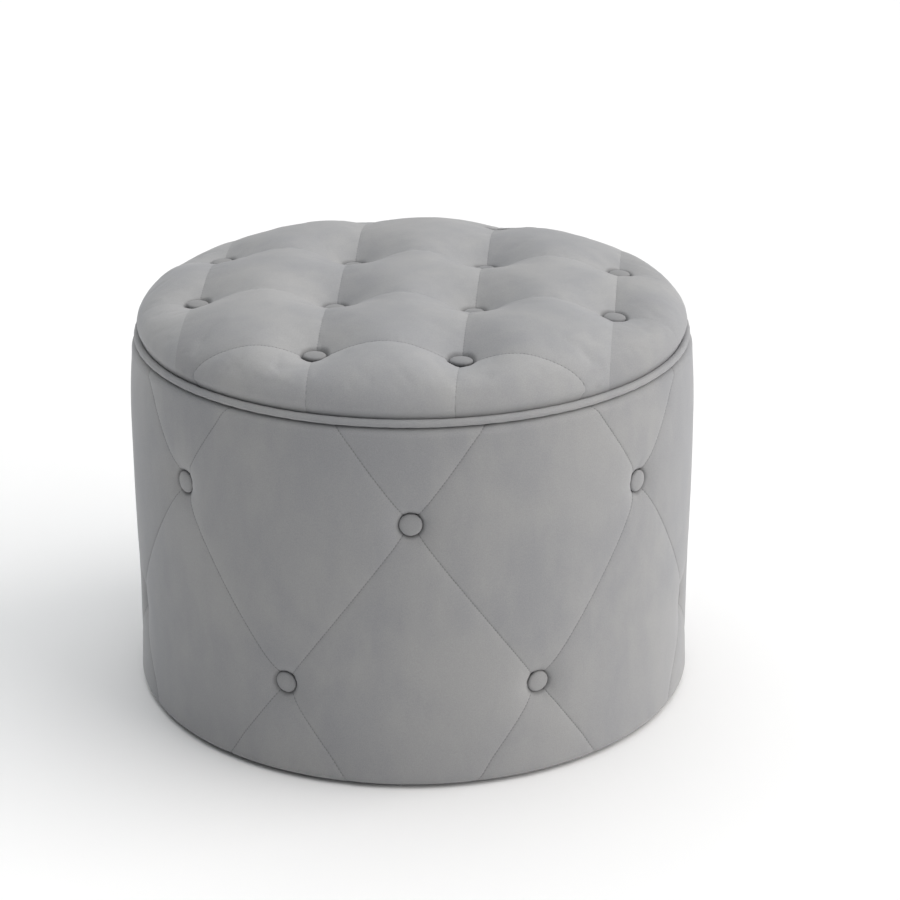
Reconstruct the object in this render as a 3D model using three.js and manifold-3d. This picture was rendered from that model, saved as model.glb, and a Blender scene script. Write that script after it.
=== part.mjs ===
// Round storage ottoman: a hollow upholstered drum, and a button-tufted lid that lifts straight off.
// Millimetres, +Z up. The origin is on the floor, under the middle of the drum.

import * as THREE from 'three';
import Module from 'manifold-3d';
import { mergeVertices } from 'three/addons/utils/BufferGeometryUtils.js';

const wasm = await Module();
wasm.setup();

// ---- Driving dimensions ----
const OUTER_R = 300;
const TOTAL_H = 450;
const RIM_Z = 384; // top of the drum's padded rim, where the lid rests
const SIDES = 40; // flats round every large circle
const GAP = 0.3; // between pieces that touch

// Sheet thicknesses, outside to inside of the wall
const CLOTH = 2;
const WALL_FOAM = 18.4;
const HARDBOARD = 3;
const FRAME_DEPTH = 18.4;
const LINING = 1.2;
const NON_WOVEN = 0.8;
const BOARD = 12;
const RING_BOARD = 18;
const RIM_PAD = 3.4;

// Buttons
const BUTTON_R = 11.25;
const BUTTON_H = 6;
const SIDE_BUTTONS_PER_ROW = 7;
const SIDE_ROWS = [
  { z: 284.5, shift: 0 },
  { z: 101, shift: 0.5 },
];
const SIDE_BUTTON_START = -90.5; // degrees, the upper row's front button
const SIDE_BUTTON_FACE_R = 291.5;
const LID_GRID = 142.7; // spacing of the lid's square button grid
const LID_GRID_TURN = -6.4; // degrees
const LID_BUTTON_FACE_Z = 424.5;

// ---- Radii, outside to inside ----
const foamR = OUTER_R - CLOTH - GAP;
const outerPanelR = foamR - WALL_FOAM - GAP;
const frameR = outerPanelR - HARDBOARD - GAP;
const innerPanelR = frameR - FRAME_DEPTH - GAP;
const liningR = innerPanelR - HARDBOARD - GAP;
const hemR = liningR - LINING - GAP; // the cover's turned-in edge, which laps over the lining
const wellR = hemR - CLOTH;

// ---- Heights, bottom to top ----
const glideTop = 4;
const baseDustZ = glideTop + GAP;
const wallCoverZ = baseDustZ + NON_WOVEN + GAP;
const baseBoardZ = wallCoverZ + CLOTH + GAP;
const baseBoardTop = baseBoardZ + BOARD;
const frameZ = baseBoardTop + GAP;
const rimPadTop = RIM_Z - CLOTH - GAP;
const rimRingTop = rimPadTop - RIM_PAD - GAP;
const rimRingZ = rimRingTop - RING_BOARD;
const liningTop = 350;
const hemZ = 336;
const lidDustZ = RIM_Z + GAP;
const lidCoverZ = lidDustZ + NON_WOVEN + GAP;
const lidBoardZ = lidCoverZ + CLOTH + GAP;
const lidFoamZ = lidBoardZ + BOARD + GAP;
const locatingRingTop = lidDustZ - GAP;

// ---- Colours ----
const VELVET = 0x8f8e90;
const WOOD = 0xc9ac7c;
const FOAM = 0xe9e4d2;
const BLACK_CLOTH = 0x26262a;
const LINING_CLOTH = 0x55565a;
const HARDBOARD_BROWN = 0x7c5c40;
const PLASTIC = 0x2b2b2d;
const ZINC = 0xb9bcc0;

const ottoman = new THREE.Group();

function place(name, geometry, color, roughness = 0.85, metalness = 0) {
  const material = new THREE.MeshStandardMaterial({ color, roughness, metalness });
  const mesh = new THREE.Mesh(geometry, material);
  mesh.name = name;
  ottoman.add(mesh);
  return mesh;
}

// ---- Shape helpers ----
const point = (r, z) => new THREE.Vector2(r, z);

function deg(angle) {
  return (angle * Math.PI) / 180;
}

// Points on an arc round (r, z), from one angle to another in degrees.
function arc(r, z, radius, from, to, steps) {
  const points = [];
  for (let i = 0; i <= steps; i += 1) {
    const a = deg(from + ((to - from) * i) / steps);
    points.push(point(r + radius * Math.cos(a), z + radius * Math.sin(a)));
  }
  return points;
}

// A (radius, height) outline turned about the Z axis. It runs anticlockwise, either from the axis
// to the axis or as a closed loop.
function revolve(outline, sides = SIDES) {
  const lathe = new THREE.LatheGeometry(outline, sides);
  lathe.rotateX(Math.PI / 2);
  return lathe;
}

function loop(points) {
  return [...points, points[0].clone()];
}

// A ring of rectangular section.
function ring(outer, inner, low, high) {
  return revolve(loop([point(inner, low), point(outer, low), point(outer, high), point(inner, high)]));
}

function circlePath(radius, x, y, sides) {
  const points = [];
  for (let i = 0; i < sides; i += 1) {
    const a = (2 * Math.PI * i) / sides;
    points.push(point(x + radius * Math.cos(a), y + radius * Math.sin(a)));
  }
  return points;
}

// A flat round board or sheet with round holes, each { x, y, r }. An inner radius makes it a ring.
function disc(radius, low, thickness, holes = [], inner = 0) {
  const outline = new THREE.Shape(circlePath(radius, 0, 0, SIDES));
  if (inner > 0) outline.holes.push(new THREE.Path(circlePath(inner, 0, 0, SIDES)));
  for (const hole of holes) {
    outline.holes.push(new THREE.Path(circlePath(hole.r, hole.x, hole.y, 8)));
  }
  const plate = new THREE.ExtrudeGeometry(outline, { depth: thickness, bevelEnabled: false });
  plate.translate(0, 0, low);
  return plate;
}

// ---- Boolean helpers ----
function toSolid(geometry) {
  const bare = geometry.clone();
  bare.deleteAttribute('normal');
  bare.deleteAttribute('uv');
  const merged = mergeVertices(bare, 1e-3);
  const mesh = new wasm.Mesh({
    numProp: 3,
    vertProperties: merged.attributes.position.array,
    triVerts: new Uint32Array(merged.index.array),
  });
  return new wasm.Manifold(mesh);
}

function toGeometry(solid) {
  const mesh = solid.getMesh();
  const geometry = new THREE.BufferGeometry();
  geometry.setAttribute('position', new THREE.BufferAttribute(mesh.vertProperties, mesh.numProp));
  geometry.setIndex(new THREE.BufferAttribute(mesh.triVerts, 1));
  geometry.computeVertexNormals();
  return geometry;
}

function cut(solid, tools) {
  return tools.reduce((left, tool) => left.subtract(tool), solid);
}

// ---- Tufting pockets ----
// A pocket is a cone with a flat floor, wide at the surface. Its own +Z points out of the cloth.
const POCKET_FLOOR_R = 13;
const POCKET_SIDES = 8;

// slope is how much the radius grows for each millimetre of height; sink moves the whole pocket
// down, so that a second pocket leaves a wall of even thickness behind the first.
function pocket(slope, height, sink) {
  const outline = [
    point(0, -sink), point(POCKET_FLOOR_R, -sink),
    point(POCKET_FLOOR_R + slope * height, height - sink), point(0, height - sink),
  ];
  return revolve(outline, POCKET_SIDES);
}

// How far a pocket sinks to leave the given wall thickness on its sloping side.
function sinkFor(slope, thickness) {
  return thickness * Math.sqrt(1 + 1 / slope ** 2);
}

// ---- Where the buttons are ----
function sideButtonPlaces() {
  const places = [];
  for (const row of SIDE_ROWS) {
    for (let i = 0; i < SIDE_BUTTONS_PER_ROW; i += 1) {
      const angle = SIDE_BUTTON_START + ((i + row.shift) * 360) / SIDE_BUTTONS_PER_ROW;
      places.push({ angle: deg(angle), z: row.z });
    }
  }
  return places;
}

// A four by four grid without its corners.
function lidButtonPlaces() {
  const places = [];
  const turn = deg(LID_GRID_TURN);
  const steps = [-1.5, -0.5, 0.5, 1.5];
  for (const row of steps) {
    for (const column of steps) {
      const corner = Math.abs(row) > 1 && Math.abs(column) > 1;
      if (corner) continue;
      const x = column * LID_GRID;
      const y = row * LID_GRID;
      places.push({
        x: x * Math.cos(turn) - y * Math.sin(turn),
        y: x * Math.sin(turn) + y * Math.cos(turn),
      });
    }
  }
  return places;
}

// The place of a piece that faces straight out of the drum's side, its base at radius r.
function sideMatrix(place, r) {
  const matrix = new THREE.Matrix4().makeRotationY(Math.PI / 2);
  matrix.premultiply(new THREE.Matrix4().makeRotationZ(place.angle));
  matrix.setPosition(r * Math.cos(place.angle), r * Math.sin(place.angle), place.z);
  return matrix;
}

// ---- Base: boards and frame ----
const GLIDES = 6;
const GLIDE_CIRCLE_R = 235;
const GLIDE_R = 11;
const NAIL_R = 1.4;
const NAIL_TOP = baseBoardZ + 9;
const STUDS = 8;
const STUD_WIDTH = 40;
const STUD_DEPTH = 16.8;

function glidePlaces() {
  const places = [];
  for (let i = 0; i < GLIDES; i += 1) {
    const a = deg(30 + (i * 360) / GLIDES);
    places.push({ x: GLIDE_CIRCLE_R * Math.cos(a), y: GLIDE_CIRCLE_R * Math.sin(a) });
  }
  return places;
}

function addBaseBoards() {
  const nailHoles = glidePlaces().map((p) => ({ x: p.x, y: p.y, r: NAIL_R + 2 * GAP }));
  place('base_board', disc(frameR, baseBoardZ, BOARD, nailHoles), WOOD);
  place('base_dust_cover', disc(wellR + 18, baseDustZ, NON_WOVEN, nailHoles), BLACK_CLOTH);
  place('rim_ring', ring(frameR, innerPanelR + GAP, rimRingZ, rimRingTop), WOOD);
  place('inner_wall_panel', ring(innerPanelR, liningR + GAP, frameZ, rimRingTop), HARDBOARD_BROWN);
  place('outer_wall_panel', ring(outerPanelR, frameR + GAP, baseBoardZ, rimRingTop), HARDBOARD_BROWN);
}

// Upright blocks between the base board and the rim ring.
function addStuds() {
  const height = rimRingZ - GAP - frameZ;
  for (let i = 0; i < STUDS; i += 1) {
    const a = deg(22.5 + (i * 360) / STUDS);
    const r = innerPanelR + 1.4 * GAP + STUD_DEPTH / 2;
    const stud = place(`wall_stud_${i + 1}`, new THREE.BoxGeometry(STUD_DEPTH, STUD_WIDTH, height), WOOD);
    stud.position.set(r * Math.cos(a), r * Math.sin(a), frameZ + height / 2);
    stud.rotation.z = a;
  }
}

// Nail-on glides: a low plastic disc and its nail, in one outline.
function addGlides() {
  const outline = [
    point(0, 0), point(GLIDE_R - 2, 0), point(GLIDE_R, 1.5), point(GLIDE_R, glideTop),
    point(NAIL_R, glideTop), point(NAIL_R, NAIL_TOP - 3), point(0, NAIL_TOP),
  ];
  glidePlaces().forEach((p, i) => {
    const glide = place(`foot_glide_${i + 1}`, revolve(outline, 8), PLASTIC, 0.5);
    glide.position.set(p.x, p.y, 0);
  });
}

// ---- Base: soft goods ----
const COVER_FOOT_R = 5; // rounding at the drum's bottom edge
const RIM_ROLL_R = 9; // rounding at the drum's top edge
const FOLD_R = 255; // inner edge of the cloth folded under the base board

const SIDE_POCKET_FLOOR_R = SIDE_BUTTON_FACE_R - BUTTON_H - GAP;
const SIDE_POCKET_SLOPE = 1.7;
const SIDE_POCKET_HEIGHT = 24;

function sidePockets(sink) {
  return sideButtonPlaces().map((p) => {
    const tool = pocket(SIDE_POCKET_SLOPE, SIDE_POCKET_HEIGHT, sink);
    tool.applyMatrix4(sideMatrix(p, SIDE_POCKET_FLOOR_R));
    return toSolid(tool);
  });
}

// The wall's outline, drawn in by the given depth, from its bottom inner edge round to its top.
function wallOutline(inset) {
  const r = OUTER_R;
  return [
    ...arc(r - COVER_FOOT_R, wallCoverZ + COVER_FOOT_R, COVER_FOOT_R - inset, -90, 0, 1),
    ...arc(r - RIM_ROLL_R, RIM_Z - RIM_ROLL_R, RIM_ROLL_R - inset, 0, 90, 2),
  ];
}

// The cover wraps under the base board, up the wall, over the rim and down inside it.
function addWallCover() {
  const outside = revolve([point(0, wallCoverZ), ...wallOutline(0), point(0, RIM_Z)]);
  const inside = revolve([
    point(0, 0), point(FOLD_R, 0), point(FOLD_R, wallCoverZ + CLOTH),
    ...wallOutline(CLOTH),
    point(hemR, RIM_Z - CLOTH), point(hemR, hemZ), point(wellR, hemZ),
    point(wellR, RIM_Z + 10), point(0, RIM_Z + 10),
  ]);
  const outer = cut(toSolid(outside), sidePockets(0));
  const inner = cut(toSolid(inside), sidePockets(sinkFor(SIDE_POCKET_SLOPE, CLOTH)));
  place('wall_cover', toGeometry(outer.subtract(inner)), VELVET);
}

function addWallPadding() {
  const inset = CLOTH + GAP;
  const innerR = outerPanelR + GAP;
  const foam = revolve(loop([
    point(innerR, wallCoverZ + inset), ...wallOutline(inset), point(innerR, rimPadTop),
  ]));
  const pockets = sidePockets(sinkFor(SIDE_POCKET_SLOPE, inset + GAP));
  place('wall_foam', toGeometry(cut(toSolid(foam), pockets)), FOAM);
  place('rim_padding', ring(outerPanelR, liningR + GAP, rimRingTop + GAP, rimPadTop), FOAM);
}

// The well's lining: a floor and a wall in one piece of cloth.
function addLining() {
  const floor = frameZ;
  const outline = [
    point(0, floor), point(liningR, floor), point(liningR, liningTop), point(liningR - LINING, liningTop),
    point(liningR - LINING, floor + LINING), point(0, floor + LINING),
  ];
  place('storage_lining', revolve(outline), LINING_CLOTH);
}

// ---- Covered buttons ----
function buttonGeometry() {
  return revolve([point(0, 0), point(8.5, 0), point(BUTTON_R, 3), point(0, BUTTON_H)], 12);
}

function addSideButtons() {
  sideButtonPlaces().forEach((p, i) => {
    const button = place(`side_button_${i + 1}`, buttonGeometry(), VELVET);
    button.applyMatrix4(sideMatrix(p, SIDE_BUTTON_FACE_R - BUTTON_H));
  });
}

function addLidButtons() {
  lidButtonPlaces().forEach((p, i) => {
    const button = place(`lid_button_${i + 1}`, buttonGeometry(), VELVET);
    button.position.set(p.x, p.y, LID_BUTTON_FACE_Z - BUTTON_H);
  });
}

// ---- Lid: boards and locating ring ----
const LID_BOARD_R = 281;
const LID_RING_R = wellR - 5; // leaves play inside the well's mouth
const LID_RING_WIDTH = 20;
const SCREWS = 4;
const SCREW_R = 2;
const SCREW_HEAD_R = 4.2;
const SCREW_HEAD_H = 3;
const SCREW_LENGTH = 28;

function screwPlaces() {
  const places = [];
  for (let i = 0; i < SCREWS; i += 1) {
    const a = deg(45 + (i * 360) / SCREWS);
    const r = LID_RING_R - LID_RING_WIDTH / 2;
    places.push({ x: r * Math.cos(a), y: r * Math.sin(a) });
  }
  return places;
}

function addLidBoards() {
  const screwHoles = screwPlaces().map((p) => ({ x: p.x, y: p.y, r: SCREW_R + 2 * GAP }));
  place('lid_board', disc(LID_BOARD_R, lidBoardZ, BOARD, screwHoles), WOOD);
  place('lid_dust_cover', disc(LID_BOARD_R - 4, lidDustZ, NON_WOVEN, screwHoles), BLACK_CLOTH);
  const ringLow = locatingRingTop - RING_BOARD;
  const locator = disc(LID_RING_R, ringLow, RING_BOARD, screwHoles, LID_RING_R - LID_RING_WIDTH);
  place('lid_locating_ring', locator, WOOD);
  const headZ = ringLow - GAP - SCREW_HEAD_H;
  const shankZ = headZ + SCREW_HEAD_H;
  const screw = [
    point(0, headZ), point(SCREW_HEAD_R - 1.2, headZ), point(SCREW_HEAD_R, shankZ - 1),
    point(SCREW_HEAD_R, shankZ), point(SCREW_R, shankZ), point(SCREW_R, shankZ + SCREW_LENGTH - 3),
    point(0, shankZ + SCREW_LENGTH),
  ];
  screwPlaces().forEach((p, i) => {
    const mesh = place(`ring_screw_${i + 1}`, revolve(screw, 8), ZINC, 0.35, 1);
    mesh.position.set(p.x, p.y, 0);
  });
}

// ---- Lid: soft goods ----
const PIPING_R = 4;
const PIPING_CENTRE_R = 290;
const LID_FOLD_R = 262; // inner edge of the cloth folded under the lid board
const LID_FOOT_R = PIPING_CENTRE_R - PIPING_R - GAP; // the cover behind the piping
const LID_BULGE_R = 291;
const LID_SHOULDER_Z = 402;
const DOME_RADIAL_POWER = 3.4;
const DOME_HEIGHT_POWER = 1.6;
const DOME_STEPS = 6;

const LID_POCKET_SLOPE = 1.14;
const LID_POCKET_HEIGHT = 42;
const LID_POCKET_FLOOR_Z = LID_BUTTON_FACE_Z - BUTTON_H - GAP;

function lidPockets(sink) {
  return lidButtonPlaces().map((p) => {
    const tool = pocket(LID_POCKET_SLOPE, LID_POCKET_HEIGHT, sink);
    tool.translate(p.x, p.y, LID_POCKET_FLOOR_Z);
    return toSolid(tool);
  });
}

// The crown is a superellipse, from the lid's widest line up to its middle.
function domeOutline(inset) {
  const r = LID_BULGE_R - inset;
  const h = TOTAL_H - LID_SHOULDER_Z - inset;
  const points = [];
  for (let i = 0; i <= DOME_STEPS; i += 1) {
    const t = (Math.PI / 2) * (1 - i / DOME_STEPS);
    const radius = i === DOME_STEPS ? 0 : r * Math.sin(t) ** (2 / DOME_RADIAL_POWER);
    points.push(point(radius, LID_SHOULDER_Z + h * Math.cos(t) ** (2 / DOME_HEIGHT_POWER)));
  }
  return points;
}

// The cover folds under the lid board, passes behind the piping and swells out above it.
function addLidCover() {
  const flareZ = lidBoardZ + 6;
  const outside = revolve([
    point(0, lidCoverZ), point(LID_FOOT_R, lidCoverZ), point(LID_FOOT_R, flareZ), ...domeOutline(0),
  ]);
  const inside = revolve([
    point(0, RIM_Z), point(LID_FOLD_R, RIM_Z), point(LID_FOLD_R, lidCoverZ + CLOTH),
    point(LID_FOOT_R - CLOTH, lidCoverZ + CLOTH), point(LID_FOOT_R - CLOTH, flareZ + 1),
    ...domeOutline(CLOTH),
  ]);
  const outer = cut(toSolid(outside), lidPockets(0));
  const inner = cut(toSolid(inside), lidPockets(sinkFor(LID_POCKET_SLOPE, CLOTH)));
  place('lid_cover', toGeometry(outer.subtract(inner)), VELVET);
}

function addLidFoam() {
  const inset = CLOTH + 2 * GAP;
  const foam = revolve([
    point(0, lidFoamZ), point(LID_BULGE_R - inset - 2, lidFoamZ), ...domeOutline(inset),
  ]);
  const pockets = lidPockets(sinkFor(LID_POCKET_SLOPE, inset));
  place('lid_foam', toGeometry(cut(toSolid(foam), pockets)), FOAM);
}

// The corded welt round the lid's bottom edge.
function addPiping() {
  const section = arc(PIPING_CENTRE_R, lidDustZ + PIPING_R, PIPING_R, 0, 360, 8);
  section[section.length - 1] = section[0].clone();
  place('lid_piping', revolve(section), VELVET);
}

addBaseBoards();
addStuds();
addGlides();
addWallPadding();
addWallCover();
addLining();
addSideButtons();
addLidBoards();
addLidFoam();
addLidCover();
addPiping();
addLidButtons();

export default ottoman;
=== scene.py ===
"""Looks of a round storage ottoman: a velvet drum with buttoned diamond panels and a tufted lid.

Metres, +Z up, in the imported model's frame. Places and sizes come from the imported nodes.
"""
import math
import random
from collections import namedtuple

import bmesh
import bpy
import numpy as np
from mathutils import Matrix, Vector, noise


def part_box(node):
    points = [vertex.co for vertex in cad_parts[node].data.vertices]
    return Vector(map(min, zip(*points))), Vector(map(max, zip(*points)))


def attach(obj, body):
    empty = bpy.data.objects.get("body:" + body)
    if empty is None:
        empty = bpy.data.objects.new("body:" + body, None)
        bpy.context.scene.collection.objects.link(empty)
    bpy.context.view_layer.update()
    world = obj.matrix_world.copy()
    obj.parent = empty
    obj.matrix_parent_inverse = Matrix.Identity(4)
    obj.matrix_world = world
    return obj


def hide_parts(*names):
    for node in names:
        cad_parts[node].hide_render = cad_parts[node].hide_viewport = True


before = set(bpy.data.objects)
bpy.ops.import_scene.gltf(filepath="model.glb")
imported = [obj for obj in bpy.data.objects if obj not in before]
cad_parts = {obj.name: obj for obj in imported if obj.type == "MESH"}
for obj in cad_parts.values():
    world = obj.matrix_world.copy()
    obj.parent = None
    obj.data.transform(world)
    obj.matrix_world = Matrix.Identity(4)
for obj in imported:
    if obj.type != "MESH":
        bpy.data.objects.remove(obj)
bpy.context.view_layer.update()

MM = 0.001

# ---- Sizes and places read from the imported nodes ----


def middle(node):
    """The middle of a node's box."""
    low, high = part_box(node)
    return (low + high) / 2


def numbered(stem):
    """The nodes called STEM_1, STEM_2 and so on, in order."""
    names = [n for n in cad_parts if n.startswith(stem + "_") and n[len(stem) + 1:].isdigit()]
    return sorted(names, key=lambda n: int(n.rsplit("_", 1)[1]))


WALL_LOW, WALL_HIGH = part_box("wall_cover")
LID_LOW, LID_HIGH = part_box("lid_cover")
PIPING_LOW, PIPING_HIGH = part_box("lid_piping")
LINING_LOW, LINING_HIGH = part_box("storage_lining")
FRAME_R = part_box("outer_wall_panel")[1].x

CLOTH = 2.0 * MM
OUTER_R = WALL_HIGH.x
RIM_Z = WALL_HIGH.z
FOOT_Z = WALL_LOW.z
CROWN_Z = LID_HIGH.z
PIPING_R = (PIPING_HIGH.z - PIPING_LOW.z) / 2
PIPING_DRAWN_IN = 2.5 * MM  # by the stitching that holds it
PIPING_RING_R = PIPING_HIGH.x - PIPING_R - PIPING_DRAWN_IN
PIPING_Z = (PIPING_HIGH.z + PIPING_LOW.z) / 2

SIDE_BUTTONS = numbered("side_button")
LID_BUTTONS = numbered("lid_button")
UPPER_Z = middle(SIDE_BUTTONS[0]).z
LOWER_Z = middle(SIDE_BUTTONS[-1]).z
PER_ROW = len(SIDE_BUTTONS) // 2
FRONT_BUTTON = math.atan2(middle(SIDE_BUTTONS[0]).y, middle(SIDE_BUTTONS[0]).x)
BUTTON_R = (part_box(SIDE_BUTTONS[0])[1].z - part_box(SIDE_BUTTONS[0])[0].z) / 2

grid_step = middle(LID_BUTTONS[1]) - middle(LID_BUTTONS[0])
LID_GRID = math.hypot(grid_step.x, grid_step.y)
LID_TURN = math.atan2(grid_step.y, grid_step.x)
LID_PLACES = [(middle(name).x, middle(name).y) for name in LID_BUTTONS]


# ---- Small helpers ----


def smooth(value, low, high):
    """0 below low, 1 above high, and a smooth ramp between."""
    t = min(max((value - low) / (high - low), 0.0), 1.0)
    return t * t * (3 - 2 * t)


def bell(distance, width):
    """1 at no distance, dying away smoothly over about `width`."""
    return math.exp(-((distance / width) ** 2))


def under_button(distance, start, end):
    """1 at a button's middle and 0 away from it, changing from `start` to `end` beyond the button's edge."""
    return 1 - smooth(distance, BUTTON_R + start, BUTTON_R + end)


def sewn_depth(offs, strengths=(1, 1)):
    """How deep the two kinds of seam draw a point in: each is a narrow crease in a wider valley."""
    narrow, wide = (max(strength * bell(off, half) for strength, off in zip(strengths, offs))
                    for half in (CREASE_HALF, VALLEY_HALF))
    return CREASE_DEPTH * narrow + VALLEY_DEPTH * wide


def soft_noise(point, scale, seed):
    """Smooth noise from -1 to 1, with features about `scale` metres across."""
    return noise.noise(Vector(point) / scale + Vector((seed, 2.3 * seed, 5.1 * seed)))


def polar(r, angle):
    """The x and y of a point at a radius and an angle round the Z axis."""
    return r * math.cos(angle), r * math.sin(angle)


def add_object(name, data):
    """A new object, placed in the scene."""
    made = bpy.data.objects.new(name, data)
    bpy.context.scene.collection.objects.link(made)
    return made


def new_piece(name, mesh, body, material):
    """A smooth piece that rides on a body, with the material it is given."""
    piece = add_object(name, mesh)
    mesh.materials.append(material)
    for face in mesh.polygons:
        face.use_smooth = True
    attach(piece, body)
    return piece


def mesh_of(name, points, faces):
    mesh = bpy.data.meshes.new(name)
    mesh.from_pydata([tuple(p) for p in points], [], faces)
    mesh.update()
    return mesh


def thicken(piece, thickness):
    """Gives a sheet of cloth its thickness, inwards where it is above 0, so that it is one closed skin."""
    solidify = piece.modifiers.new("thickness", "SOLIDIFY")
    solidify.thickness = thickness
    solidify.offset = -1
    solidify.use_rim = True
    shaped = piece.evaluated_get(bpy.context.evaluated_depsgraph_get())
    mesh = bpy.data.meshes.new_from_object(shaped)
    piece.modifiers.clear()
    piece.data = mesh


def padded_piece(name, mesh, body, material, node, skin=0.0):
    """A soft piece that stands for a CAD node. `skin` is the cloth's thickness where the mesh is a sheet."""
    piece = new_piece(name, mesh, body, material)
    if skin > 0:
        thicken(piece, skin)
    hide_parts(node)


def mesh_from(name, sheet):
    """Turns a bmesh into a mesh."""
    mesh = bpy.data.meshes.new(name)
    sheet.to_mesh(mesh)
    sheet.free()
    return mesh


def refine(sheet, distance, reach):
    """Makes a bmesh twice as fine where distance(point) is less than reach."""
    near = [e for e in sheet.edges if min(distance(v.co) for v in e.verts) < reach]
    bmesh.ops.subdivide_edges(sheet, edges=near, cuts=1, use_grid_fill=True)


def write_seam_map(sheet, coordinates):
    """Writes the map that the velvet's seams are drawn from: the two numbers of coordinates(point)."""
    uv = sheet.loops.layers.uv.new("seams")
    for face in sheet.faces:
        for loop in face.loops:
            loop[uv].uv = coordinates(loop.vert.co)


def cut(sheet, point, across):
    """Cuts a straight line of edges into a bmesh, through a point and square to a direction."""
    everything = sheet.verts[:] + sheet.edges[:] + sheet.faces[:]
    bmesh.ops.bisect_plane(sheet, geom=everything, dist=1e-6, plane_co=point, plane_no=across)


def lathe(name, outline, sides, closed=False, shape=None):
    """A mesh turned round the Z axis from (radius, height) points.

    shape(angle, i, radius, height) may move a point and returns its radius and height.
    """
    points, faces, rings = [], [], []
    for i, (radius, height) in enumerate(outline):
        if radius == 0:
            rings.append([len(points)])
            points.append((0, 0, shape(0, i, 0, height)[1] if shape else height))
            continue
        ring = []
        for k in range(sides):
            angle = math.tau * k / sides
            r, z = shape(angle, i, radius, height) if shape else (radius, height)
            ring.append(len(points))
            points.append((*polar(r, angle), z))
        rings.append(ring)
    pairs = list(zip(rings, rings[1:]))
    if closed:
        pairs.append((rings[-1], rings[0]))
    for low, high in pairs:
        for k in range(sides):
            j = (k + 1) % sides
            corners = [low[k % len(low)], low[j % len(low)], high[j % len(high)], high[k % len(high)]]
            faces.append(tuple(dict.fromkeys(corners)))
    return mesh_of(name, points, faces)


SETTLE_FRAMES = 20
SETTLE_PRESSURE = 5.0
SETTLE_SPARE = 0.004  # how much larger the cloth is cut, as a share
SETTLE_MOST = 3.5 * MM  # no point moves further than this


def settle(points, faces, held):
    """Lets a sheet of cloth swell against its held points and returns the new points. held has a weight
    for each point, 1 where it is fixed."""
    mesh = mesh_of("settling", points, faces)
    sheet = add_object("settling", mesh)
    group = sheet.vertex_groups.new(name="held")
    for i, weight in enumerate(held):
        if weight > 0:
            group.add([i], min(weight, 1), "REPLACE")
    cloth = sheet.modifiers.new("cloth", "CLOTH")
    cloth.settings.vertex_group_mass = "held"
    cloth.settings.use_pressure = True
    cloth.settings.uniform_pressure_force = SETTLE_PRESSURE
    cloth.settings.effector_weights.gravity = 0
    cloth.settings.quality = 5
    cloth.settings.mass = 0.3
    cloth.settings.bending_stiffness = 0.5
    cloth.settings.shrink_min = -SETTLE_SPARE
    cloth.collision_settings.use_collision = False
    cloth.point_cache.frame_start = 1
    cloth.point_cache.frame_end = SETTLE_FRAMES
    scene = bpy.context.scene
    for number in range(1, SETTLE_FRAMES + 1):
        scene.frame_set(number)
    shaped = sheet.evaluated_get(bpy.context.evaluated_depsgraph_get()).data
    after = np.array([v.co[:] for v in shaped.vertices])
    bpy.data.objects.remove(sheet)
    scene.frame_set(1)
    before = np.array(points, float)
    move = after - before
    size = np.linalg.norm(move, axis=1, keepdims=True)
    return before + move * np.minimum(1, SETTLE_MOST / np.maximum(size, 1e-9))


# ---- Outlines followed by length ----


def line(start, end):
    """A straight stretch of outline: its length, and a function that gives the point and the outward
    normal at a distance along it."""
    (r0, z0), (r1, z1) = start, end
    length = math.hypot(r1 - r0, z1 - z0)
    along = ((r1 - r0) / length, (z1 - z0) / length)

    def at(s):
        return (r0 + along[0] * s, z0 + along[1] * s), (along[1], -along[0])

    return length, at


def bend(centre, radius, start, turn):
    """A round stretch of outline, anticlockwise for a positive turn. Angles in degrees."""
    first, sweep = math.radians(start), math.radians(turn)
    length = abs(sweep) * radius
    side = 1 if sweep > 0 else -1

    def at(s):
        a = first + sweep * s / length
        point = (centre[0] + radius * math.cos(a), centre[1] + radius * math.sin(a))
        return point, (side * math.cos(a), side * math.sin(a))

    return length, at


def follow(path, s):
    """The point and normal at distance s along a path made of stretches."""
    for length, at in path[:-1]:
        if s <= length:
            return at(max(s, 0))
        s -= length
    return path[-1][1](min(s, path[-1][0]))


# ---- Camera, light and floor ----

CAMERA_PLACE = (0.002, -2.460, 1.240)
CAMERA_DOWN = 22.02  # degrees
CAMERA_RIGHT = 0.875  # degrees
LENS_MM = 98.7
SENSOR_MM = 36
WORLD_LIGHT = 0.165
KEY_LIGHT = 0.71
OVERHEAD_LIGHT = 0.66
FLOOR_SIDE = 40


def make_camera():
    data = bpy.data.cameras.new("camera")
    data.lens = LENS_MM
    data.sensor_width = SENSOR_MM
    camera = add_object("camera", data)
    camera.location = CAMERA_PLACE
    camera.rotation_euler = (math.radians(90 - CAMERA_DOWN), 0, math.radians(-CAMERA_RIGHT))
    bpy.context.scene.camera = camera


def soft_sun(name, azimuth, elevation, spread, irradiance, colour):
    """An even soft light from far away. Azimuth 0 is the front and 90 the right. Angles in degrees."""
    data = bpy.data.lights.new(name, "SUN")
    data.energy = irradiance * math.pi
    data.angle = math.radians(spread)
    data.color = colour
    light = add_object(name, data)
    a, e = math.radians(azimuth), math.radians(elevation)
    back = Vector((math.sin(a) * math.cos(e), -math.cos(a) * math.cos(e), math.sin(e)))
    light.rotation_euler = back.to_track_quat("Z", "Y").to_euler()


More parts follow.
